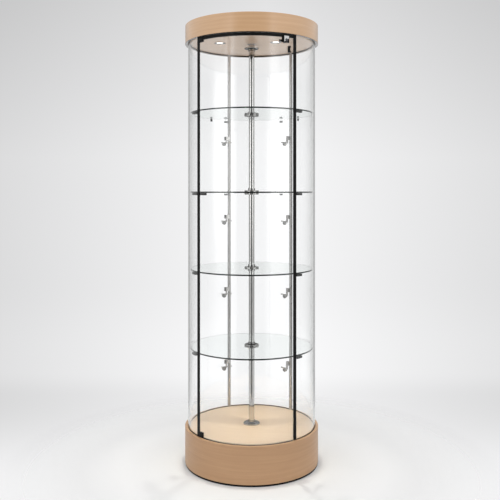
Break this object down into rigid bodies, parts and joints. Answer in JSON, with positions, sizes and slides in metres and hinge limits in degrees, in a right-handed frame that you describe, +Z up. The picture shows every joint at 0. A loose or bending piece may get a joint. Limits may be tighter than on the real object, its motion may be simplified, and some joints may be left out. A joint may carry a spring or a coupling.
{
  "type": "revolving glass display cabinet",
  "caption": "Tall round glass display tower with wood canopy and plinth, hinged curved door with lock, and glass shelves on a revolving centre pole.",
  "frame": {"origin": "on the floor under the pole's axis, the middle of the underside", "axes": "+Z up along the pole, the glass door faces -Y, +X to the right seen from the door"},
  "size_m": [0.6, 0.6, 1.96],
  "materials": {
    "veneer": "beech veneer, satin lacquer",
    "ceiling_laminate": "glossy grey-beige laminate",
    "plywood": "raw plywood",
    "curved_glass": "clear toughened glass",
    "shelf_glass": "clear toughened glass, ground edge",
    "black_trim": "matt black",
    "black_metal": "satin black",
    "polished_steel": "polished",
    "brushed_steel": "brushed",
    "dark_steel": "dark",
    "cast_aluminium": "as cast",
    "white_nylon": "moulded",
    "clear_grey_plastic": "moulded",
    "lit_lens": "frosted, lit"
  },
  "bodies": {
    "cabinet": {"plinth_band": "veneer", "plinth_deck": "veneer", "canopy_band": "veneer", "roof_board": "veneer", "ceiling_panel": "ceiling_laminate", "deck_carrier_ring": "plywood", "ceiling_carrier_ring": "plywood", "floor_board": "plywood", "toe_ring": "black_trim", "levelling_feet": "black_trim", "back_glass": "curved_glass", "left_side_glass": "curved_glass", "right_side_glass": "curved_glass", "hinge_side_strip": "black_trim", "lock_side_strip": "black_trim", "lower_glazing_channels": "black_trim", "upper_glazing_channels": "black_trim", "door_pivot_strips": "black_trim", "lock_keeper": "black_metal", "left_rear_post": "brushed_steel", "right_rear_post": "brushed_steel", "base_flange": "polished_steel", "bearing_outer_ring": "polished_steel", "bearing_housing": "cast_aluminium", "gear_motor": "dark_steel", "ceiling_bush": "white_nylon", "front_shelf_pads": "black_trim", "rear_shelf_pads": "black_trim", "rear_glass_studs": "clear_grey_plastic", "lamp_clamps": "brushed_steel", "ceiling_light_bezels": "polished_steel", "ceiling_light_lenses": "lit_lens", "lamp_driver": "white_nylon", "mains_inlet": "black_trim"},
    "carousel": {"centre_pole": "polished_steel", "shelf_1": "shelf_glass", "shelf_2": "shelf_glass", "shelf_3": "shelf_glass", "shelf_4": "shelf_glass", "shelf_hubs": "polished_steel", "shelf_hub_discs": "polished_steel", "hub_grub_screws": "dark_steel", "bearing_inner_ring_and_balls": "polished_steel", "drive_coupling": "cast_aluminium"},
    "door": {"door_glass": "curved_glass", "door_top_rail": "black_metal", "lower_pivot_clamp": "black_metal", "upper_pivot_clamp": "black_metal", "lock_plate": "black_metal", "lock_housing": "polished_steel", "door_pull": "black_metal"},
    "lock": {"lock_cam": "polished_steel"},
    "spot_lamp_left_1_head": {"spot_lamp_left_1": "brushed_steel"},
    "spot_lamp_left_2_head": {"spot_lamp_left_2": "brushed_steel"},
    "spot_lamp_left_3_head": {"spot_lamp_left_3": "brushed_steel"},
    "spot_lamp_left_4_head": {"spot_lamp_left_4": "brushed_steel"},
    "spot_lamp_right_1_head": {"spot_lamp_right_1": "brushed_steel"},
    "spot_lamp_right_2_head": {"spot_lamp_right_2": "brushed_steel"},
    "spot_lamp_right_3_head": {"spot_lamp_right_3": "brushed_steel"},
    "spot_lamp_right_4_head": {"spot_lamp_right_4": "brushed_steel"}
  },
  "joints": [
    {"name": "carousel_spin", "type": "hinge", "parent": "cabinet", "child": "carousel", "pos_m": [0, 0, 0.1335], "axis": [0, 0, 1], "continuous": true},
    {"name": "door_hinge", "type": "hinge", "parent": "cabinet", "child": "door", "pos_m": [-0.19609, -0.20502, 1], "axis": [0, 0, -1], "range_deg": [0, 90]},
    {"name": "lock_turn", "type": "hinge", "parent": "door", "child": "lock", "pos_m": [0.17005, -0.23491, 1.85], "axis": [-0.5864, 0.81, 0], "range_deg": [0, 90]},
    {"name": "tilt_left_1", "type": "hinge", "parent": "cabinet", "child": "spot_lamp_left_1_head", "pos_m": [-0.12788, 0.22603, 1.4545], "axis": [0.8704, 0.4924, 0], "range_deg": [-20, 35]},
    {"name": "tilt_left_2", "type": "hinge", "parent": "cabinet", "child": "spot_lamp_left_2_head", "pos_m": [-0.12788, 0.22603, 1.0745], "axis": [0.8704, 0.4924, 0], "range_deg": [-20, 35]},
    {"name": "tilt_left_3", "type": "hinge", "parent": "cabinet", "child": "spot_lamp_left_3_head", "pos_m": [-0.12788, 0.22603, 0.722], "axis": [0.8704, 0.4924, 0], "range_deg": [-20, 35]},
    {"name": "tilt_left_4", "type": "hinge", "parent": "cabinet", "child": "spot_lamp_left_4_head", "pos_m": [-0.12788, 0.22603, 0.369], "axis": [0.8704, 0.4924, 0], "range_deg": [-20, 35]},
    {"name": "tilt_right_1", "type": "hinge", "parent": "cabinet", "child": "spot_lamp_right_1_head", "pos_m": [0.15081, 0.21143, 1.4545], "axis": [0.8141, -0.5807, 0], "range_deg": [-20, 35]},
    {"name": "tilt_right_2", "type": "hinge", "parent": "cabinet", "child": "spot_lamp_right_2_head", "pos_m": [0.15081, 0.21143, 1.0745], "axis": [0.8141, -0.5807, 0], "range_deg": [-20, 35]},
    {"name": "tilt_right_3", "type": "hinge", "parent": "cabinet", "child": "spot_lamp_right_3_head", "pos_m": [0.15081, 0.21143, 0.722], "axis": [0.8141, -0.5807, 0], "range_deg": [-20, 35]},
    {"name": "tilt_right_4", "type": "hinge", "parent": "cabinet", "child": "spot_lamp_right_4_head", "pos_m": [0.15081, 0.21143, 0.369], "axis": [0.8141, -0.5807, 0], "range_deg": [-20, 35]}
  ]
}
